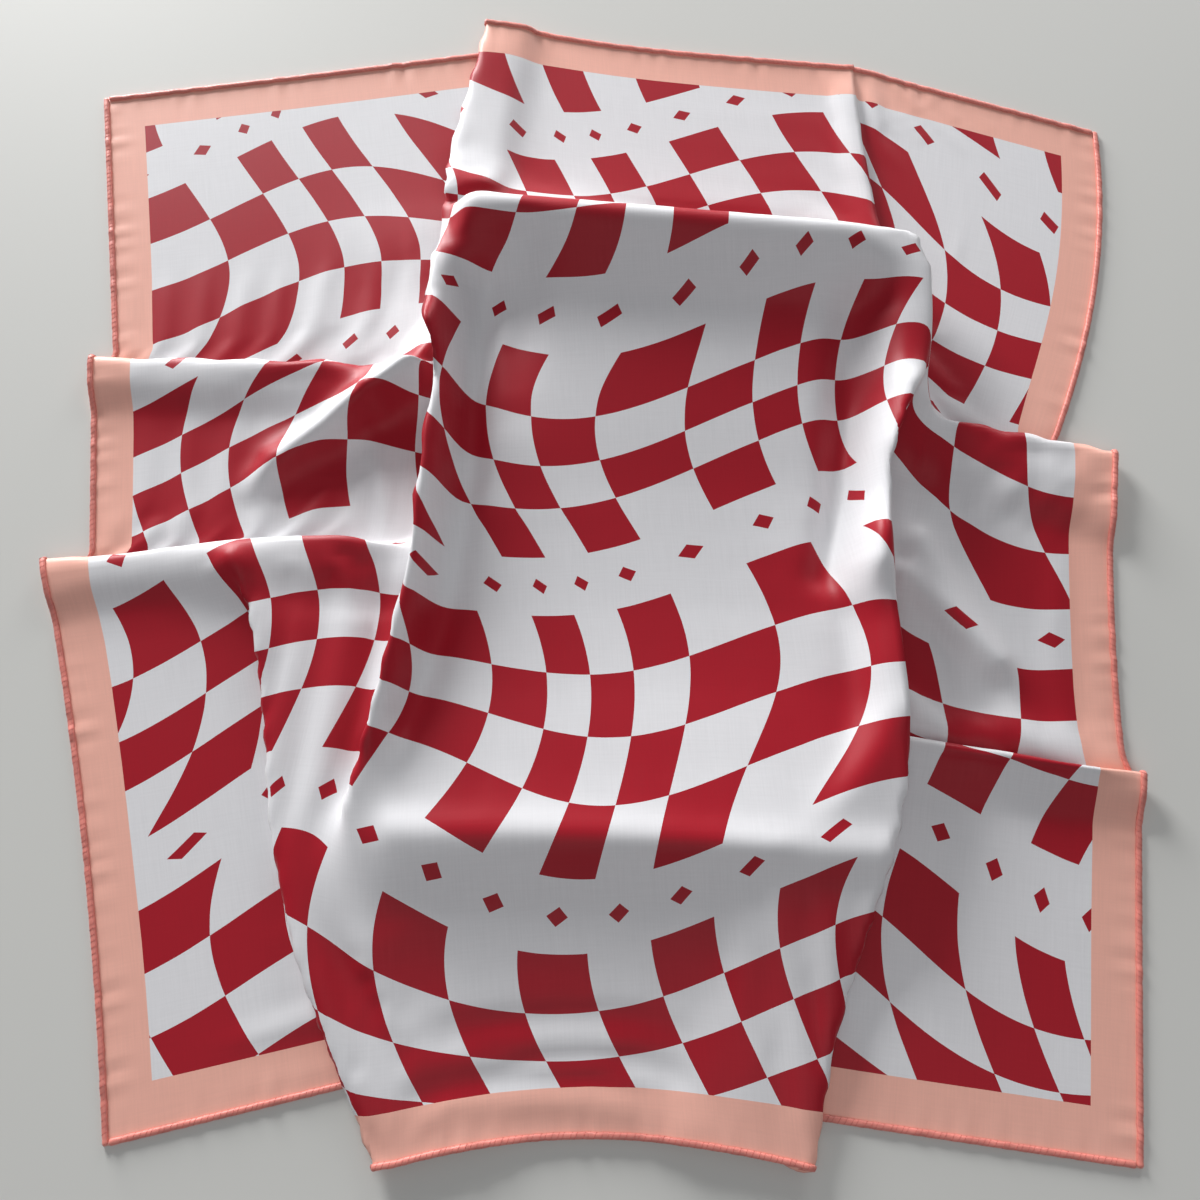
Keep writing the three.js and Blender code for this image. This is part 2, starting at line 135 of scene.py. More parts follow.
# side panels between the pleats: the hem's place and the panel's turn at its lower and upper end
panelNames = ("fromT", "toT", "fromX", "toX", "bow", "fromTurn", "toTurn")
panelRows = {
    "left": [
        (-350, -38, -247, -311, 6, 0.20, 0.12),
        (-2, 126, -283, -294, 0, 0.09, 0.07),
        (162, 350, -281, -304, 0, 0.10, 0.10),
    ],
    "right": [
        (-350, -156, 266, 297, 0, 0.17, 0.18),
        (-130, 49, 289, 312, -3, 0.16, 0.14),
        (132, 350, 277, 336, 13, 0.28, 0.24),
    ],
}

# flat pleats at the side hems: height, slope inward, depth, its change inward, height of a layer
pleatNames = ("t", "slope", "depth", "change", "layer")
pleatRows = {
    "left": [(126, -0.15, 18, 0.00, 3.2), (-38, -0.04, 18, 0.00, 3.2)],
    "right": [(49, 0.19, 40, -0.11, 3.2), (-156, 0.03, 9, 0.05, 3.4)],
}

# soft ridges and troughs: from (s, t) to (s, t), height at each end, and width
ridgeNames = ("fromS", "fromT", "toS", "toT", "fromZ", "toZ", "width")
middleRidges = [
    (-38, 156, -54, 50, -9, -2, 15),
    (168, 120, 134, -45, -6, -4, 12),
    (-115, -188, 135, -206, 4, 4, 12),
    (178, 100, 176, 70, 5, 5, 13),
    (152, -34, 142, -62, 7, 5, 13),
]
panelRidges = [
    (-186, -28, -158, -30, 3, 9, 9),
    (238, -10, 290, -88, 9, 3, 11),
    (-243, -60, -232, -110, 7, 2, 9),
]


def named(names, rows):
    return [dict(zip(names, row)) for row in rows]


sections = named(sectionNames, sectionRows)
panels = {side: named(panelNames, rows) for side, rows in panelRows.items()}
pleats = {side: named(pleatNames, rows) for side, rows in pleatRows.items()}


def smooth(start, end, value):
    u = np.clip((value - start) / (end - start), 0, 1)
    return u * u * (3 - 2 * u)


def mix(a, b, u):
    return a + (b - a) * u


def bell(distance, width):
    return np.exp(-(distance / width) ** 2)


# a section's value at every height t, on a smooth line through the rows that never overshoots
def sectionAt(name, t):
    places = np.array([row["t"] for row in sections], float)
    values = np.array([row[name] for row in sections], float)
    rise = np.diff(values) / np.diff(places)
    slope = np.zeros(len(places))
    slope[0], slope[-1] = rise[0], rise[-1]
    same = rise[:-1] * rise[1:] > 0
    slope[1:-1][same] = 2 * rise[:-1][same] * rise[1:][same] / (rise[:-1][same] + rise[1:][same])
    k = np.clip(np.searchsorted(places, t, side="right") - 1, 0, len(places) - 2)
    run = places[k + 1] - places[k]
    u = (t - places[k]) / run
    value = (2 * u**3 - 3 * u**2 + 1) * values[k] + (3 * u**2 - 2 * u**3) * values[k + 1]
    return value + (u**3 - 2 * u**2 + u) * run * slope[k] + (u**3 - u**2) * run * slope[k + 1]


# where the side hem lies at every height t, and how its panel is turned
def hemAt(side, t):
    heights, places, turns = [], [], []
    for panel in panels[side]:
        heights += [panel["fromT"], panel["toT"]]
        places += [panel["fromX"], panel["toX"]]
        turns += [panel["fromTurn"], panel["toTurn"]]
    x = np.interp(t, heights, places)
    for panel in panels[side]:
        u = np.clip((t - panel["fromT"]) / (panel["toT"] - panel["fromT"]), 0, 1)
        x = x + panel["bow"] * 4 * u * (1 - u)
    return x, np.interp(t, heights, turns)


def crestAt(s):
    return middleSet["crestT"] + middleSet["crestSlope"] * (s - middleSet["crestS"])


# height of a folded-under layer, u from 0 at its lower crease to 1 at its upper one
def tuckedHeight(u, width, low, high):
    run = np.minimum(0.25, scarfSet["creaseRun"] / np.maximum(width, 1e-6))
    drop = np.minimum(scarfSet["creaseDrop"], (high - low) / 2) * smooth(0, 6, width)
    between = mix(low + drop, high - drop, (u - run) / (1 - 2 * run))
    nearTop = np.where(u > 1 - run, high - drop * (1 - u) / run, between)
    return np.where(u < run, low + drop * u / run, nearTop)


def ridgeHeight(rows, s, t):
    z = 0 * s
    for row in named(ridgeNames, rows):
        runS = row["toS"] - row["fromS"]
        runT = row["toT"] - row["fromT"]
        along = (s - row["fromS"]) * runS + (t - row["fromT"]) * runT
        u = np.clip(along / (runS**2 + runT**2), 0, 1)
        away = np.hypot(s - row["fromS"] - u * runS, t - row["fromT"] - u * runT)
        z = z + mix(row["fromZ"], row["toZ"], u) * bell(away, row["width"])
    return z


# the middle's own ridges and those of the side panels, kept off the hidden layers between them
def reliefHeight(s, t, row):
    onMiddle = smooth(-3, 5, s - row["ridgeS"]) * smooth(-3, 5, row["rightS"] - s)
    onLeft = smooth(-2, 10, row["ridgeS"] - row["ridgeTuck"] - s)
    onRight = smooth(-2, 10, s - row["rightS"] - row["rightTuck"])
    middle = ridgeHeight(middleRidges, s, t) * onMiddle
    return middle + ridgeHeight(panelRidges, s, t) * (onLeft + onRight)


# the shift up the table and the height that one side's flat pleats give
def pleatShift(side, s, t):
    inward = half + s if side == "left" else half - s
    y, z = 0 * t, 0 * t
    for pleat in pleats[side]:
        depth = np.maximum(pleat["depth"] + pleat["change"] * inward, 0)
        past = t - pleat["t"] - pleat["slope"] * inward
        y = y - 2 * np.clip(past, 0, depth)
        over = 2 * pleat["layer"] * smooth(-(depth + scarfSet["pleatRun"]), -depth, past)
        within = tuckedHeight(1 - past / np.maximum(depth, 1e-6), depth, 0, 2 * pleat["layer"])
        z = z + np.where(past <= 0, over, np.where(past < depth, within, 0))
    return y, z


# height of the middle between its left ridge and its right fold
def middleHeight(s, t, row):
    slant = middleSet["crestSlope"] * (s - middleSet["crestS"]) * smooth(60, 140, t)
    midZ = sectionAt("midZ", np.minimum(t - slant, half))
    fromRidge = np.maximum(s - row["ridgeS"] - row["ridgeTuck"] * smooth(180, 240, t), 0)
    overRight = (row["rightTuck"] + 4) * (1 - smooth(-215, -120, t))
    fromRight = np.maximum(row["rightS"] - s - overRight, 0)
    leftWidth = middleSet["leftRoll"] - middleSet["leftNarrow"] * smooth(-215, -130, t)
    rightWidth = middleSet["rightRoll"] + middleSet["rightWiden"] * smooth(0, 110, t)
    leftRoll = np.exp(-(fromRidge / leftWidth) ** 3)
    rightRoll = np.exp(-(fromRight / rightWidth) ** 3)
    return midZ + (row["ridgeZ"] - midZ) * leftRoll + (row["rightZ"] - midZ) * rightRoll


# x and height across the cloth, from fold to fold: left panel, flap and what it hides, the tuck under
# the left ridge, the middle, the tuck under the right fold, right panel
def acrossAt(s, t, row, leftX, rightX):
    ridgeX = row["ridgeS"] + row["slip"]
    foldX = row["rightS"] + row["slip"]
    ridgeIn = row["ridgeS"] - row["ridgeTuck"]
    tuckX = ridgeX + row["ridgeTuck"]
    flapIn = row["flapS"] - row["flapTuck"]
    evenX = leftX + (tuckX - leftX) * (row["flapS"] + half) / (ridgeIn + half)
    flapped = smooth(0, 6, row["flapTuck"])
    flapX = mix(evenX, tuckX - 0.97 * (ridgeIn - row["flapS"]), flapped)
    hidden, most, shoulder = (scarfSet[name] for name in ("hiddenShare", "hiddenMost", "shoulder"))
    underLeft = np.minimum(row["ridgeZ"] * hidden, most)
    lowRight = np.minimum(row["rightZ"] * hidden, most)
    underRight = mix(row["rightZ"] * 0.8, lowRight, smooth(0, 6, row["rightTuck"]))
    folds = [
        (0 * t - half, leftX, 0 * t),
        (flapIn, flapX + row["flapTuck"], row["flapZ"] * (1 - flapped)),
        (row["flapS"], flapX, row["flapZ"]),
        (ridgeIn, tuckX, underLeft),
        (row["ridgeS"], ridgeX, row["ridgeZ"]),
        (row["rightS"], foldX, row["rightZ"]),
        (row["rightS"] + row["rightTuck"], foldX - row["rightTuck"], underRight),
        (0 * t + half, rightX, 0 * t),
    ]
    x, z = 0 * t, 0 * t
    done = np.zeros(t.shape, bool)
    for k, ((fromS, fromX, fromZ), (toS, toX, toZ)) in enumerate(zip(folds, folds[1:])):
        width = np.maximum(toS - fromS, 1e-6)
        u = np.clip((s - fromS) / width, 0, 1)
        if k == 0:
            height = toZ * bell(s - toS, shoulder)
        elif k in (1, 3):
            height = tuckedHeight(u, width, fromZ, toZ)
        elif k == 2:
            lying = mix(fromZ, np.maximum(fromZ, toZ), smooth(0.6, 1, u))
            height = np.where(row["flapTuck"] > 6, lying, mix(fromZ, toZ, smooth(0, 1, u)))
        elif k == 4:
            height = middleHeight(s, t, row)
        elif k == 5:
            height = tuckedHeight(1 - u, width, toZ, fromZ)
        else:
            height = toZ + (fromZ - toZ) * bell(s - fromS, shoulder)
        here = ~done if k == 6 else ~done & (s <= toS)
        x = np.where(here, mix(fromX, toX, u), x)
        z = np.where(here, height, z)
        done |= here
    return x, z


# where the middle lies up the table
def middlePlace(s, t):
    pastCrest = s - middleSet["crestS"]
    back = middleSet["crestBack"] + middleSet["backWiden"] * pastCrest
    behind = smooth(0, 1, (t - crestAt(s)) / back)
    backLift = middleSet["backLift"] - middleSet["backSlant"] * pastCrest
    bowS = s - middleSet["bowS"]
    bow = np.minimum((bowS / middleSet["bowReach"]) ** 2, middleSet["bowMost"])
    belowCrest = middleSet["drawnTop"] * (1 - smooth(105, 183, t))
    belowLip = middleSet["drawnLow"] * (1 - smooth(-250, -190, t))
    drawnUp = (middleSet["drawn"] - middleSet["drawnBow"] * bow) * (belowCrest + belowLip)
    corner = middleSet["cornerUp"] * smooth(230, 350, t) * bell(pastCrest, middleSet["cornerReach"])
    curl = middleSet["hemUp"] - middleSet["hemBow"] * bow - middleSet["hemSlant"] * bowS
    nearHem = (1 - smooth(-350, -270, t)) * curl
    return t + mix(scarfSet["middleLift"], backLift, behind) + drawnUp + corner + nearHem


# where the points (s, t) of the flat cloth lie on the table
def foldCloth(s, t):
    row = {name: sectionAt(name, t) for name in sectionNames[1:]}
    leftX, leftTurn = hemAt("left", t)
    rightX, rightTurn = hemAt("right", t)
    x, z = acrossAt(s, t, row, leftX, rightX)
    middleY = middlePlace(s, t)
    leftDown, leftUp = pleatShift("left", np.minimum(s, 0), t)
    rightDown, rightUp = pleatShift("right", np.maximum(s, 0), t)
    leftY = t + scarfSet["leftLift"] + leftTurn * (x - leftX) + leftDown
    rightY = t + scarfSet["rightLift"] + rightTurn * (rightX - x) + rightDown
    flapIn = row["flapS"] - row["flapTuck"]
    ridgeIn = row["ridgeS"] - row["ridgeTuck"]
    ridgeOpen = 1 - smooth(0, 10, row["ridgeTuck"])
    rightOpen = 1 - smooth(0, 10, row["rightTuck"])
    pastFlap = smooth(0, 1, (s - flapIn) / np.maximum(row["flapTuck"], 14))
    ridgeWidth = row["ridgeTuck"] + 26 * ridgeOpen + 1e-6
    rightWidth = row["rightTuck"] + 52 * rightOpen + 1e-6
    pastRidge = smooth(0, 1, (s - ridgeIn + 16 * ridgeOpen) / ridgeWidth)
    pastRight = smooth(0, 1, (s - row["rightS"] + 12 * rightOpen) / rightWidth)
    toMiddle = mix(pastFlap, pastRidge, smooth(-290, -40, t))
    y = mix(mix(leftY, middleY, toMiddle), rightY, pastRight)
    pleatZ = np.where(s < 0, leftUp * (1 - pastRidge), rightUp * pastRight)
    height = z + pleatZ + reliefHeight(s, t, row)
    return np.stack([x - scarfSet["originX"], y - scarfSet["originY"], height], -1)


def flatGrid(cells):
    line = np.linspace(-half, half, cells + 1)
    t, s = np.meshgrid(line, line, indexing="ij")
    return s, t


def gridFaces(rows, columns, closed=False):
    faces = []
    for i in range(rows - 1):
        this, above = i * columns, (i + 1) * columns
        for j in range(columns if closed else columns - 1):
            k = (j + 1) % columns
            faces.append((this + j, this + k, above + k, above + j))
    return faces


def meshObject(name, points, faces, edges=()):
    mesh = bpy.data.meshes.new(name)
    mesh.from_pydata(points.reshape(-1, 3).tolist(), list(edges), faces)
    made = bpy.data.objects.new(name, mesh)
    bpy.context.collection.objects.link(made)
    return made


def shadeSmooth(made):
    made.data.polygons.foreach_set("use_smooth", [True] * len(made.data.polygons))


# selects these objects only, the last one active
def choose(*chosen):
    bpy.ops.object.select_all(action="DESELECT")
    for each in chosen:
        each.select_set(True)
    bpy.context.view_layer.objects.active = chosen[-1]


# the cloth settles: it starts folded, takes its flat size back, and is held loosely to its folds
settleSet = {
    "cells": 120,
    "frames": 26,
    "flatBy": 10,           # frame by which it has its flat size
    "enlarged": 10,         # the solver holds thin cloth apart better at this scale
    "holdEvery": 4,         # cells from one held point to the next
    "holdForce": 0.25,
    "reliefReach": 10,      # how far beside a raised line the cloth is still on it
    "reliefOver": 6,        # ridges higher than this are raised lines too
    "lift": 0.6,
    "stretch": 40,
    "shear": 0.7,
    "bend": 3,
    "weight": 0.1,
}


# the raised lines, which the cloth is held to more closely
def onRelief(s, t):
    reach = settleSet["reliefReach"]
    upright = (t > -225) & (t < 195)
    pastLeft = s - sectionAt("ridgeS", t)
    pastRight = s - sectionAt("rightS", t)
    left = upright & (pastLeft > -reach) & (pastLeft < 4 * reach)
    right = upright & (pastRight > -3.5 * reach) & (pastRight < reach)
    crest = (s > -85) & (s < 190) & (abs(t - crestAt(s)) < reach)
    lip = (abs(s) < 120) & (abs(t + 197 + 0.072 * (s - 10)) < reach)
    high = [row for row in middleRidges + panelRidges if max(row[4:6]) > settleSet["reliefOver"]]
    return left | right | crest | lip | (ridgeHeight(high, s, t) > 3)


def settleCloth():
    cells = settleSet["cells"]
    grow = settleSet["enlarged"]
    s, t = flatGrid(cells)
    folded = foldCloth(s, t) + np.array([0, 0, settleSet["lift"]])
    folded = folded.reshape(-1, 3) * mm * grow
    flat = np.stack([s, t, 0 * s], -1).reshape(-1, 3) * mm * grow
    step = np.arange(cells + 1)
    onRim = np.isin(step, (0, cells))
    onStep = step % settleSet["holdEvery"] == 0
    isHeld = onRim[:, None] | onRim[None] | (onStep[:, None] & onStep[None]) | onRelief(s, t)
    held = np.flatnonzero(isHeld.ravel()).tolist()
    anchors = folded[held]
    count = len(folded)
    threads = [(start, count + k) for k, start in enumerate(held)]
    faces = gridFaces(cells + 1, cells + 1)
    cloth = meshObject("settling", np.concatenate([folded, anchors]), faces, threads)
    cloth.shape_key_add(name="folded")
    flatKey = cloth.shape_key_add(name="flat")
    flatKey.data.foreach_set("co", np.concatenate([flat, anchors]).ravel())
    flatKey.value = 0
    flatKey.keyframe_insert("value", frame=1)
    flatKey.value = 1
    flatKey.keyframe_insert("value", frame=settleSet["flatBy"])
    anchorGroup = cloth.vertex_groups.new(name="anchors")
    anchorGroup.add(list(range(count, count + len(held))), 1.0, "REPLACE")

    modifier = cloth.modifiers.new("settle", "CLOTH")
    satin = modifier.settings
    satin.quality = 8
    satin.mass = settleSet["weight"]
    satin.tension_stiffness = settleSet["stretch"]
    satin.compression_stiffness = settleSet["stretch"]
    satin.shear_stiffness = settleSet["shear"]
    satin.bending_stiffness = settleSet["bend"]
    satin.tension_damping = satin.compression_damping = satin.shear_damping = 5
    satin.bending_damping = 0.5
    satin.air_damping = 5
    satin.use_dynamic_mesh = True
    satin.use_sewing_springs = True
    satin.sewing_force_max = settleSet["holdForce"]
    satin.vertex_group_mass = "anchors"
    satin.pin_stiffness = 1
    touch = modifier.collision_settings
    touch.distance_min = 0.6 * mm * grow
    touch.use_self_collision = True
    touch.self_distance_min = 0.9 * mm * grow
    touch.self_friction = 5
    touch.collision_quality = 3
    modifier.point_cache.frame_start = 1
    modifier.point_cache.frame_end = settleSet["frames"]

    bpy.ops.mesh.primitive_plane_add(size=3 * grow)
    table = bpy.context.object
    table.modifiers.new("table", "COLLISION")
    table.collision.thickness_outer = 0.4 * mm * grow
    table.collision.cloth_friction = 20

    scene = bpy.context.scene
    scene.frame_start = 1
    scene.frame_end = settleSet["frames"]
    for number in range(1, settleSet["frames"] + 1):
        scene.frame_set(number)
    settled = cloth.evaluated_get(bpy.context.evaluated_depsgraph_get())
    mesh = settled.to_mesh()
    points = np.zeros(len(mesh.vertices) * 3)
    mesh.vertices.foreach_get("co", points)
    settled.to_mesh_clear()
    points = points.reshape(-1, 3)[:count] / grow
    bpy.data.objects.remove(cloth)
    bpy.data.objects.remove(table)
    scene.frame_set(1)
    return points.reshape(cells + 1, cells + 1, 3)


# a finer grid through the points of a coarse one, along its first side
def finer(points, count):
    last = len(points) - 1
    u = np.linspace(0, last, count)
    k = np.clip(np.floor(u).astype(int), 0, last - 1)
    u = (u - k)[:, None, None]
    before, start, end, after = (points[np.clip(k + step, 0, last)] for step in (-1, 0, 1, 2))
    return 0.5 * (2 * start + (end - before) * u + (2 * before - 5 * start + 4 * end - after) * u**2
                  + (3 * start - before - 3 * end + after) * u**3)


def gridNormals(points):
    across = np.gradient(points, axis=1)
    along = np.gradient(points, axis=0)
    normal = np.cross(across, along)
    return normal / np.maximum(np.linalg.norm(normal, axis=2, keepdims=True), 1e-9)


# what is done to the settled cloth: a share of its folds comes back, tucked layers stay under, and
# creases are laid over it, each from (x, y) to (x, y) on the table with its height at each end and
# its width; every layer there rises alike, and the hem's thread pulls up puckers
creaseSet = {
    "keepFolds": 0.6,       # share of the folded form that stays after settling
    "keepRelief": 0.85,     # and along the raised lines and the hems
    "rimReach": 12,
    "sharePasses": 3,
    "calm": 0.9,            # how strongly each of calmPasses evens out the calm spots
    "calmPasses": 18,
    # (s, t) and reach of the calm spots, where pleats and rolls run out
    "calmSpots": [(-140, -38, 20), (-136, 104, 17), (-149, -214, 22), (228, 92, 27)],
    "underTop": 1.0,        # how far the tucked layers lie below the middle, at least
    "underReach": 30,       # how far in they are looked for, in tucks deeper than leastTuck
    "underStep": 3,
    "leastTuck": 8,
    "pleatT": 92,           # the upper right pleat crosses the tuck here, and is left as it is
    "pleatReach": 40,
    "rows": [
        (-72, 170, -88, 127, 0, 8, 11),
        (-88, 127, -108, 89, 8, 21, 11),
        (-108, 89, -143, 68, 21, 20, 11),
        (-143, 68, -189, 38, 20, 10, 11),
        (-189, 38, -212, 15, 10, 0, 10),
        (-90, 82, -93, 45, 2, 4, 9),
        (-93, 45, -97, 9, 4, 5, 9),
        (-97, 9, -106, -51, 5, 5, 9),
        (-106, -51, -126, -125, 5, 3, 9),
        (-68, 144, -74, 84, -9, -9, 11),
        (-74, 84, -77, 20, -9, -6, 11),
        (-77, 20, -90, -60, -6, -4, 10),
        (-90, -60, -110, -120, -4, -3, 10),
        (150, 120, 142, 60, -7, -8, 11),
        (142, 60, 136, 4, -8, -7, 11),
        (136, 4, 122, -44, -7, -5, 10),
        (145, -42, 152, -20, 8, 3, 14),
        (178, 60, 172, 30, 6, 5, 12),
        (169, -44, 212, -96, 9, 5, 9),
        (159, -125, 209, -137, 2, 7, 12),
        (209, -137, 266, -153, 7, 2, 14),
    ],
    "puckerHeight": 0.8,
    "puckerReach": 9,
    "puckerPitch": 13,
    "patchPitch": 91,       # puckers come and go along the hem
    "tableSoft": 0.25,      # how softly the cloth is kept above the table
    "seed": 11,
}


def unevenWave(along, pitch, generator):
    value = 0 * along
    for longer, share in ((1.0, 0.5), (0.73, 0.3), (1.41, 0.3)):
        phase = generator.uniform(0, 6.28)
        value = value + share * np.sin(2 * np.pi * along / (pitch * longer) + phase)
    return value


# the sum of each grid point's four neighbours
def neighbours(grid):
    padded = np.pad(grid, ((1, 1), (1, 1), (0, 0)), mode="edge")
    return padded[2:, 1:-1] + padded[:-2, 1:-1] + padded[1:-1, 2:] + padded[1:-1, :-2]


# a share of the folded form comes back, more along the raised lines, with soft changes between
def keepFolds(settled):
    s, t = flatGrid(settleSet["cells"])
    onRim = np.maximum(abs(s), abs(t)) > half - creaseSet["rimReach"]
    raised = onRelief(s, t) | onRim
    share = np.where(raised, creaseSet["keepRelief"], creaseSet["keepFolds"])[:, :, None]
    for _ in range(creaseSet["sharePasses"]):
        share = (neighbours(share) + share) / 5
    folded = (foldCloth(s, t) + np.array([0, 0, settleSet["lift"]])) * mm
    points = mix(settled, folded, share)
    for spotS, spotT, reach in creaseSet["calmSpots"]:
        calm = creaseSet["calm"] * bell(np.hypot(s - spotS, t - spotT), reach)[:, :, None]
        for _ in range(creaseSet["calmPasses"]):
            points = mix(points, neighbours(points) / 4, calm)
    return points


# the layers tucked under the middle's two sides stay below it
def tuckUnder(points):
    s, t = flatGrid(len(points) - 1)
    ridgeS, rightS = sectionAt("ridgeS", t), sectionAt("rightS", t)
    onTop = (s > ridgeS + 1) & (s < rightS - 1)
    leftTuck, rightTuck = sectionAt("ridgeTuck", t), sectionAt("rightTuck", t)
    reach, least = creaseSet["underReach"], creaseSet["leastTuck"]
    underLeft = (leftTuck > least) & (s > ridgeS - leftTuck - reach) & (s < ridgeS - 3)
    underRight = (rightTuck > least) & (s > rightS + 3) & (s < rightS + rightTuck + reach)
    underRight &= abs(t - creaseSet["pleatT"]) > creaseSet["pleatReach"]
    top = points[onTop]
    tree = KDTree(len(top))
    for number, (x, y, z) in enumerate(top):
        tree.insert((x, y, 0), number)
    tree.balance()
    for i, j in np.argwhere(underLeft | underRight):
        x, y, z = points[i, j]
        near = tree.find_n((x, y, 0), 4)
        if near[0][2] < creaseSet["underStep"] * mm:
            lowestTop = min(top[number, 2] for _, number, _ in near)
            points[i, j, 2] = min(z, lowestTop - creaseSet["underTop"] * mm)
    return points


def finishCloth(points):
    points = tuckUnder(points)
    s, t = flatGrid(len(points) - 1)
    x, y = points[:, :, 0] / mm, points[:, :, 1] / mm
    over = [ridgeHeight([row], x, y) for row in creaseSet["rows"]]
    points[:, :, 2] += (np.max(over, axis=0) + np.min(over, axis=0)) * mm
    normal = gridNormals(points)
    raised = 0 * s
    generator = np.random.default_rng(creaseSet["seed"])
    for along, toEdge in ((t, half - s), (t, half + s), (s, half - t), (s, half + t)):
        wave = unevenWave(along, creaseSet["puckerPitch"], generator)
        patch = 0.5 + 0.5 * unevenWave(along, creaseSet["patchPitch"], generator)
        fade = bell(toEdge - 4, creaseSet["puckerReach"])
        raised = raised + creaseSet["puckerHeight"] * wave * np.clip(patch, 0, 1) * fade
    points = points + normal * (raised * mm)[:, :, None]
    lowest = (scarfSet["thick"] + scarfSet["clearTable"]) * mm
    soft = creaseSet["tableSoft"] * mm
    above = points[:, :, 2] - lowest
    points[:, :, 2] = lowest + (above + np.sqrt(above**2 + soft**2)) / 2
    return points


# material nodes, wired one after another
def startMaterial(name):
    material = bpy.data.materials.new(name)
    material.use_nodes = True
    return material, material.node_tree


def addNode(tree, kind, *inputs, **values):
    node = tree.nodes.new(kind)
    for name, value in values.items():
        setattr(node, name, value)
    for place, value in enumerate(inputs):
        if value is None:
            continue
        if hasattr(value, "is_output"):
            tree.links.new(value, node.inputs[place])
        else:
            node.inputs[place].default_value = value
    return node


def calc(tree, operation, *inputs):
    return addNode(tree, "ShaderNodeMath", *inputs, operation=operation).outputs[0]


def blendColour(tree, share, low, high, kind="MIX"):
    node = addNode(tree, "ShaderNodeMix", data_type="RGBA", blend_type=kind)
    for name, value in (("Factor_Float", share), ("A_Color", low), ("B_Color", high)):
        socket = next(each for each in node.inputs if each.identifier == name)
        if hasattr(value, "is_output"):
            tree.links.new(value, socket)
        else:
            socket.default_value = value
    return next(each for each in node.outputs if each.identifier == "Result_Color")


def noise(tree, place, scale, detail):
    return addNode(tree, "ShaderNodeTexNoise", place, None, scale, detail).outputs[0]


# noise from 0.3 to 0.7 spread over low to high
def spread(tree, value, low, high):
    return addNode(tree, "ShaderNodeMapRange", value, 0.3, 0.7, low, high).outputs[0]


def toned(tree, colour, shade):
    tone = addNode(tree, "ShaderNodeCombineColor", shade, shade, shade).outputs[0]
    return blendColour(tree, 1.0, colour, tone, "MULTIPLY")


def bumped(tree, shader, height, strength, depth):
    bump = addNode(tree, "ShaderNodeBump")
    bump.inputs["Strength"].default_value = strength
    bump.inputs["Distance"].default_value = depth * mm
    tree.links.new(height, bump.inputs["Height"])
    tree.links.new(bump.outputs[0], shader.inputs["Normal"])


# sets the nodes out in columns, the shader's inputs to its left
def layOut(tree):
    depth = {}
    for node in tree.nodes:
        depth[node.name] = 0
    for _ in range(len(tree.nodes)):
        for link in tree.links:
            depth[link.from_node.name] = max(depth[link.from_node.name], depth[link.to_node.name] + 1)
    filled = {}
    for node in tree.nodes:
        column = depth[node.name]
        node.location = (-220 * column, -190 * filled.get(column, 0))
        filled[column] = filled.get(column, 0) + 1


# the print: bands of wavy checks, with a calm wave and a string of small lozenges between them
printSet = {
    "crimson": (0.400, 0.0060, 0.0180, 1),
    "white": (0.810, 0.805, 0.825, 1),
    "pink": (0.930, 0.490, 0.395, 1),
    "cell": 34,
    "rows": 5,              # four rows of checks and the calm one
    "rowSwell": 5,
    "startT": 20,
    "slants": (0.5, -0.6),
    # length, reach and phase of the waves that bend the columns p and the rows q
    "bendP": [(300, 24, 0.6), (230, 9, 2.0), (190, 6, 1.0)],
    "bendQ": [(340, 24, 1.9), (260, 9, 0.4)],
    "lozenge": 0.17,        # half size in cells, and how much wider than high
    "lozengeWide": 1.3,
    "roughness": 0.46,
    "roughSpread": (0.05, -0.04),
    "specular": 0.28,
    "sheen": 0.05,
    "threadShade": (0.96, 1.03),
    "warpGrain": (0.9, 26),     # millimetres across and along the threads' unevenness
    "weftGrain": (22, 1.1),
    "weaveHeight": 0.25,
    "weavePitch": 0.42,     # millimetres from thread to thread
}


def swing(tree, value, length, reach, phase):
    turned = calc(tree, "MULTIPLY_ADD", value, 2 * math.pi / length, phase)
    return calc(tree, "MULTIPLY", calc(tree, "SINE", turned), reach)


# distance from the middle of a cell, in cells
def fromMiddle(tree, value, cell):
    inCell = calc(tree, "FRACT", calc(tree, "DIVIDE", value, cell))
    return calc(tree, "ABSOLUTE", calc(tree, "SUBTRACT", inCell, 0.5))


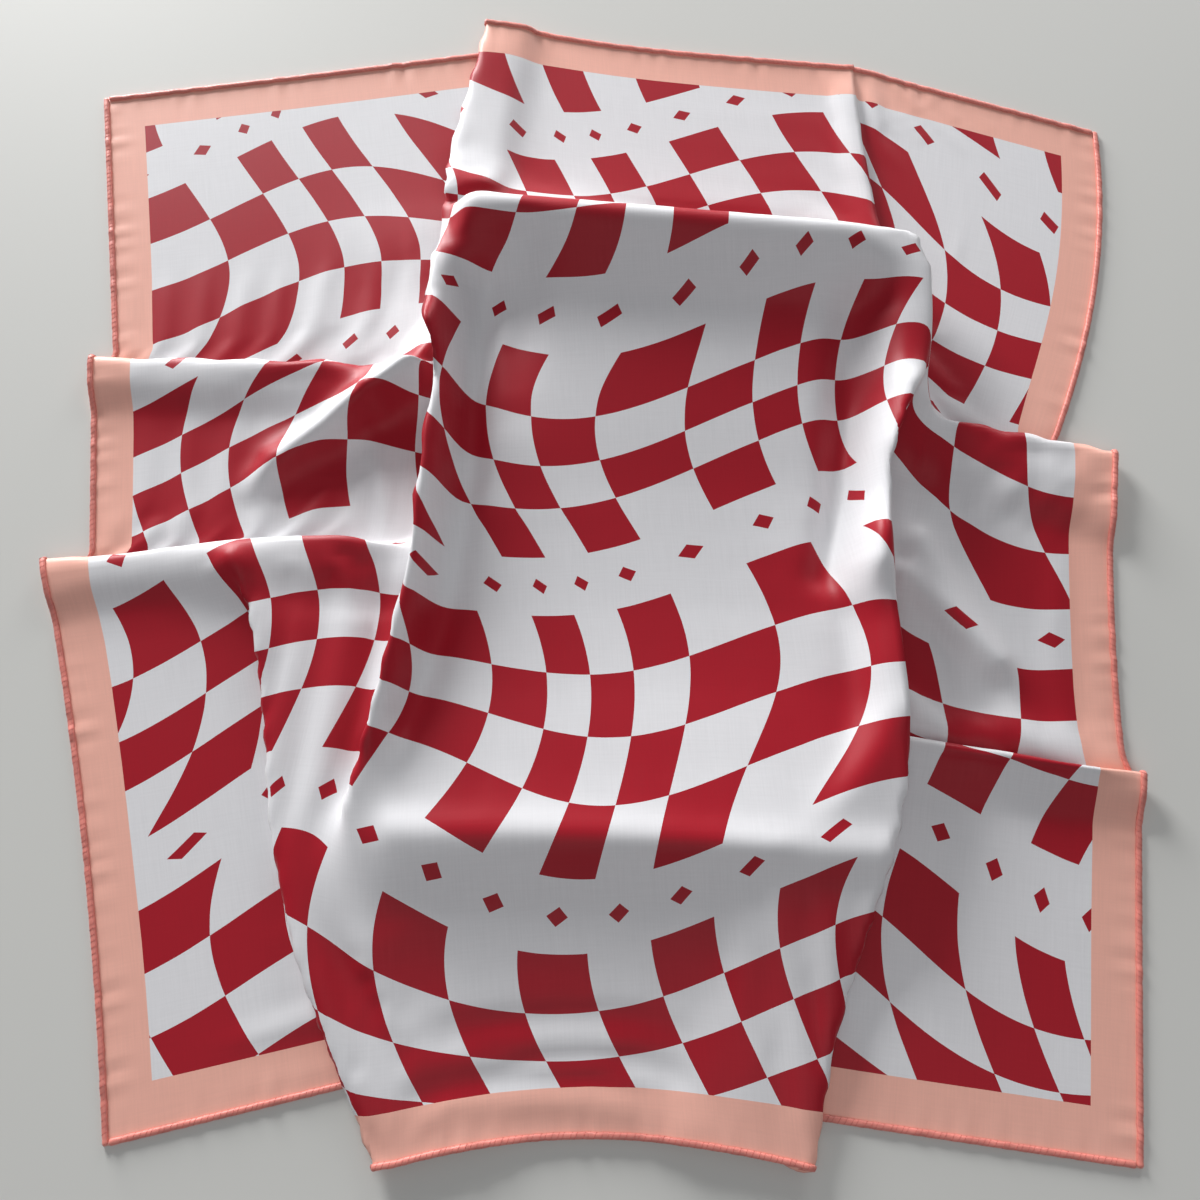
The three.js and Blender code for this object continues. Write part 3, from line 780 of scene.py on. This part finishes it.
def printColour(tree, s, t):
    cell, rows = printSet["cell"], printSet["rows"]
    slantS = calc(tree, "MULTIPLY_ADD", t, printSet["slants"][0], s)
    slantT = calc(tree, "MULTIPLY_ADD", s, printSet["slants"][1], t)
    p, q = s, t
    for value, bend in zip((t, slantS), printSet["bendP"]):
        p = calc(tree, "ADD", p, swing(tree, value, *bend))
    p = calc(tree, "ADD", p, swing(tree, p, *printSet["bendP"][-1]))
    for value, bend in zip((s, slantT), printSet["bendQ"]):
        q = calc(tree, "ADD", q, swing(tree, value, *bend))
    calmPhase = math.pi - 2 * math.pi * (rows - 0.5) / rows
    q = calc(tree, "ADD", q, printSet["startT"])
    q = calc(tree, "ADD", q, swing(tree, q, rows * cell, printSet["rowSwell"], calmPhase))
    column = calc(tree, "FLOOR", calc(tree, "DIVIDE", p, cell))
    row = calc(tree, "FLOOR", calc(tree, "DIVIDE", q, cell))
    calm = calc(tree, "COMPARE", calc(tree, "FLOORED_MODULO", row, rows), rows - 1, 0.1)
    odd = calc(tree, "FLOORED_MODULO", calc(tree, "ADD", row, column), 2)
    check = calc(tree, "LESS_THAN", calc(tree, "ADD", odd, calm), 0.5)
    middleP, middleQ = fromMiddle(tree, p, cell), fromMiddle(tree, q, cell)
    away = calc(tree, "MULTIPLY_ADD", middleQ, printSet["lozengeWide"], middleP)
    lozenge = calc(tree, "LESS_THAN", away, printSet["lozenge"])
    red = calc(tree, "MAXIMUM", check, calc(tree, "MULTIPLY", lozenge, calm))
    inside = blendColour(tree, red, printSet["white"], printSet["crimson"])
    reach = calc(tree, "MAXIMUM", calc(tree, "ABSOLUTE", s), calc(tree, "ABSOLUTE", t))
    onBorder = calc(tree, "GREATER_THAN", reach, half - scarfSet["border"])
    return blendColour(tree, onBorder, inside, printSet["pink"])


def threadNoise(tree, s, t, grainS, grainT):
    across, along = calc(tree, "DIVIDE", s, grainS), calc(tree, "DIVIDE", t, grainT)
    place = addNode(tree, "ShaderNodeCombineXYZ", across, along).outputs[0]
    return noise(tree, place, 1.0, 2.0)


def printedSatin():
    material, tree = startMaterial("printed_satin")
    shader = tree.nodes["Principled BSDF"]
    flatPlace = addNode(tree, "ShaderNodeUVMap", uv_map="flat").outputs[0]
    across = addNode(tree, "ShaderNodeSeparateXYZ", flatPlace)
    s = calc(tree, "MULTIPLY_ADD", across.outputs[0], 2 * half, -half)
    t = calc(tree, "MULTIPLY_ADD", across.outputs[1], 2 * half, -half)
    colour = printColour(tree, s, t)

    # warp threads run up the cloth and are uneven, with a fainter weft across them
    warp, weft = (threadNoise(tree, s, t, *printSet[grain]) for grain in ("warpGrain", "weftGrain"))
    thread = calc(tree, "ADD", calc(tree, "MULTIPLY", warp, 0.6), calc(tree, "MULTIPLY", weft, 0.4))
    colour = toned(tree, colour, spread(tree, thread, *printSet["threadShade"]))
    tree.links.new(colour, shader.inputs["Base Color"])
    rough = [printSet["roughness"] + change for change in printSet["roughSpread"]]
    tree.links.new(spread(tree, thread, *rough), shader.inputs["Roughness"])

    pitch = printSet["weavePitch"]
    warpWave = calc(tree, "SINE", calc(tree, "MULTIPLY", s, 2 * math.pi / pitch))
    twill = calc(tree, "MULTIPLY_ADD", s, 0.25, t)
    weftWave = calc(tree, "SINE", calc(tree, "MULTIPLY", twill, 2 * math.pi / (pitch * 1.6)))
    weave = calc(tree, "MULTIPLY", warpWave, weftWave)
    height = calc(tree, "MULTIPLY_ADD", weave, 0.5, calc(tree, "MULTIPLY", thread, 2.0))
    bumped(tree, shader, height, printSet["weaveHeight"], 0.05)
    shader.inputs["Specular IOR Level"].default_value = printSet["specular"]
    shader.inputs["Sheen Weight"].default_value = printSet["sheen"]
    shader.inputs["Sheen Roughness"].default_value = 0.4
    layOut(tree)
    return material


# the rolled hems and the overcast stitches over them
hemSet = {
    "width": 3.4,
    "height": 1.9,
    "overhang": 0.4,        # how far the roll reaches past the cloth's edge
    "steps": 900,
    "sides": 10,
    "uneven": 0.22,         # how far the roll's width and height wander, and over what lengths
    "widthPitch": 9,
    "heightPitch": 14,
    "pinchWidth": 0.03,     # share that the stitches take off the roll
    "pinchHeight": 0.07,
    "stitchPitch": 3.1,
    "stitchThick": 0.32,
    "stitchUneven": 0.12,
    # a stitch's way over the roll: the turn around it, and the place along it in pitches
    "stitchPath": [(2.7, -0.30), (2.0, -0.12), (1.2, 0.06), (0.5, 0.24), (0.0, 0.34)],
    "coral": (0.790, 0.250, 0.205, 1),
    "thread": (0.640, 0.150, 0.130, 1),
    "roughness": 0.48,
}


def hemSatin():
    material, tree = startMaterial("hem_satin")
    shader = tree.nodes["Principled BSDF"]
    place = addNode(tree, "ShaderNodeTexCoord").outputs["Object"]
    blotch = noise(tree, place, 90.0, 3.0)
    thread = noise(tree, place, 1400.0, 2.0)
    shade = calc(tree, "ADD", spread(tree, blotch, 0.82, 1.12), spread(tree, thread, -0.05, 0.05))
    tree.links.new(toned(tree, hemSet["coral"], shade), shader.inputs["Base Color"])
    bumped(tree, shader, thread, 0.3, 0.1)
    shader.inputs["Roughness"].default_value = hemSet["roughness"]
    shader.inputs["Sheen Weight"].default_value = 0.15
    layOut(tree)
    return material


def hemThread():
    material, tree = startMaterial("hem_thread")
    shader = tree.nodes["Principled BSDF"]
    place = addNode(tree, "ShaderNodeTexCoord").outputs["Object"]
    shade = spread(tree, noise(tree, place, 2500.0, 2.0), 0.85, 1.1)
    tree.links.new(toned(tree, hemSet["thread"], shade), shader.inputs["Base Color"])
    shader.inputs["Roughness"].default_value = 0.4
    layOut(tree)
    return material


def makeSheet(points, material):
    cells = len(points) - 1
    sheet = meshObject("scarf_sheet", points, gridFaces(cells + 1, cells + 1))
    flatMap = sheet.data.uv_layers.new(name="flat")
    corner = np.zeros(len(sheet.data.loops), np.int32)
    sheet.data.loops.foreach_get("vertex_index", corner)
    s, t = flatGrid(cells)
    places = np.stack([s.ravel()[corner], t.ravel()[corner]], -1) / (2 * half) + 0.5
    flatMap.data.foreach_set("uv", places.ravel())
    shadeSmooth(sheet)
    sheet.data.materials.append(material)
    wall = sheet.modifiers.new("thickness", "SOLIDIFY")
    wall.thickness = scarfSet["thick"] * mm
    wall.offset = -1
    choose(sheet)
    bpy.ops.object.modifier_apply(modifier="thickness")
    return sheet


def unit(vectors):
    return vectors / np.maximum(np.linalg.norm(vectors, axis=-1, keepdims=True), 1e-9)


# values known along a line, taken at other lengths along it
def takenAt(at, length, values):
    return np.stack([np.interp(at, length, values[:, k]) for k in range(3)], -1)


# a line through the edge's points at even steps, with the directions inward and out of the cloth
def alongEdge(edge, inner, normal, count, fromShare, toShare):
    length = np.concatenate([[0], np.cumsum(np.linalg.norm(np.diff(edge, axis=0), axis=1))])
    at = np.linspace(length[-1] * fromShare, length[-1] * toShare, count)
    line = takenAt(at, length, edge)
    return at, line, unit(takenAt(at, length, inner - edge)), unit(takenAt(at, length, normal))


# a hem: the cloth's edge rolled over itself, and the overcast stitches that hold the roll
def makeHem(name, edge, inner, normal, shares, materials, seed):
    generator = np.random.default_rng(seed)
    width, height = hemSet["width"] * mm, hemSet["height"] * mm
    at, line, inward, up = alongEdge(edge, inner, normal, hemSet["steps"], *shares)
    wander = unevenWave(at / mm, hemSet["widthPitch"], generator) * hemSet["uneven"] * mm
    bulge = unevenWave(at / mm, hemSet["heightPitch"], generator) * hemSet["uneven"] * mm
    pinch = 0.5 + 0.5 * np.cos(2 * np.pi * at / mm / hemSet["stitchPitch"])
    turn = np.linspace(0, 2 * np.pi, hemSet["sides"], endpoint=False)
    order = np.arange(len(at))
    end = np.clip(np.minimum(order, order[::-1]) / 2, 0, 1)
    end = np.sqrt(1 - (1 - end) ** 2)
    across = (width + wander) / 2 * (1 - hemSet["pinchWidth"] * pinch) * end
    tall = (height + bulge) / 2 * (1 - hemSet["pinchHeight"] * pinch) * end
    toMiddle = inward * (width / 2 - hemSet["overhang"] * mm)
    middle = line + toMiddle + up * (height / 2 - scarfSet["thick"] * mm)
    ring = (middle[:, None] + inward[:, None] * (across[:, None] * np.cos(turn))[:, :, None]
            + up[:, None] * (tall[:, None] * np.sin(turn))[:, :, None])
    ring[:, :, 2] = np.maximum(ring[:, :, 2], scarfSet["clearTable"] * mm)
    roll = meshObject(name, ring, gridFaces(len(at), hemSet["sides"], closed=True))
    roll.data.materials.append(materials[0])
    shadeSmooth(roll)

    stitches = makeStitches(name + "_stitches", at, middle, inward, up, across, tall, generator)
    stitches.data.materials.append(materials[1])
    choose(stitches, roll)
    bpy.ops.object.join()
    bpy.ops.object.mode_set(mode="EDIT")
    bpy.ops.mesh.select_all(action="SELECT")
    bpy.ops.mesh.remove_doubles(threshold=0.00001)
    bpy.ops.mesh.normals_make_consistent(inside=False)
    bpy.ops.object.mode_set(mode="OBJECT")
    return roll


# each stitch is a short thread over the roll, slanting inward
def makeStitches(name, at, middle, inward, up, across, tall, generator):
    pitch = hemSet["stitchPitch"] * mm
    thick = hemSet["stitchThick"] * mm / 2
    along = unit(np.gradient(middle, axis=0))
    points, faces = [], []
    for k in range(2, int((at[-1] - at[0]) / pitch) - 1):
        uneven = generator.uniform(-hemSet["stitchUneven"], hemSet["stitchUneven"])
        start = at[0] + pitch * (k + uneven)
        n = int(np.clip(np.searchsorted(at, start), 1, len(at) - 2))
        first = len(points) * 4
        side = along[n] * thick
        for turned, forward in hemSet["stitchPath"]:
            outward = inward[n] * math.cos(turned) * across[n] + up[n] * math.sin(turned) * tall[n]
            place = middle[n] + outward * 1.03 + along[n] * forward * pitch
            out = unit(outward) * thick
            points.append([place + side, place + out, place - side, place - out])
        last = (len(points) - 1) * 4
        for a in range(first, last, 4):
            for c in range(4):
                d = (c + 1) % 4
                faces.append((a + c, a + d, a + 4 + d, a + 4 + c))
        faces.append((first + 3, first + 2, first + 1, first))
        faces.append((last, last + 1, last + 2, last + 3))
    threads = np.array(points).reshape(-1, 3)
    threads[:, 2] = np.maximum(threads[:, 2], scarfSet["clearTable"] * mm / 2)
    made = meshObject(name, threads, faces)
    shadeSmooth(made)
    return made


# two windows beyond the far edge and a weak light overhead: place, size and power
lightSet = {
    "windows": [((-1.5, 2.9, 0.74), 1.2, 182), ((1.3, 3.0, 0.74), 1.3, 36)],
    "overhead": ((0.0, -1.1, 2.0), 1.8, 9),
    "air": (0.95, 0.96, 1.0, 1),
    "airStrength": 0.20,
    "floor": (0.68, 0.68, 0.65, 1),
}


def makeStage():
    bpy.ops.mesh.primitive_plane_add(size=6)
    floor = bpy.context.object
    floor.name = "floor"
    material, tree = startMaterial("floor")
    shader = tree.nodes["Principled BSDF"]
    shader.inputs["Base Color"].default_value = lightSet["floor"]
    shader.inputs["Roughness"].default_value = 0.6
    floor.data.materials.append(material)
    for place, size, power in lightSet["windows"] + [lightSet["overhead"]]:
        bpy.ops.object.light_add(type="AREA", location=place)
        lamp = bpy.context.object
        lamp.data.size = size
        lamp.data.energy = power
        lamp.rotation_euler = (-Vector(place)).to_track_quat("-Z", "Y").to_euler()
    world = bpy.data.worlds.new("air")
    world.use_nodes = True
    air = world.node_tree.nodes["Background"]
    air.inputs[0].default_value = lightSet["air"]
    air.inputs[1].default_value = lightSet["airStrength"]
    bpy.context.scene.world = world
    bpy.context.scene.view_settings.view_transform = "Standard"


makeCamera()
makeStage()
print("camera, floor and lights made")

settled = settleCloth()
settled = keepFolds(settled)
print("cloth settled")

fine = scarfSet["gridCells"] + 1
cloth = finer(finer(settled, fine).transpose(1, 0, 2), fine).transpose(1, 0, 2)
cloth = finishCloth(cloth)
sheet = makeSheet(cloth, printedSatin())
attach(sheet, "root")
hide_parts("scarf_cloth")

clothUp = gridNormals(cloth)
hemMaterials = (hemSatin(), hemThread())
corner = (hemSet["width"] - 0.6) / (2 * half)      # the near and far hems end inside the side ones
edges = {
    "near": (cloth[0], cloth[1], clothUp[1], (corner, 1 - corner)),
    "far": (cloth[-1], cloth[-2], clothUp[-2], (corner, 1 - corner)),
    "left": (cloth[:, 0], cloth[:, 1], clothUp[:, 1], (0, 1)),
    "right": (cloth[:, -1], cloth[:, -2], clothUp[:, -2], (0, 1)),
}
for seed, (side, (edge, inner, normal, shares)) in enumerate(edges.items()):
    hem = makeHem("rolled_hem_" + side, edge, inner, normal, shares, hemMaterials, seed)
    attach(hem, "root")
    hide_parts("hem_" + side)
print("hems sewn")
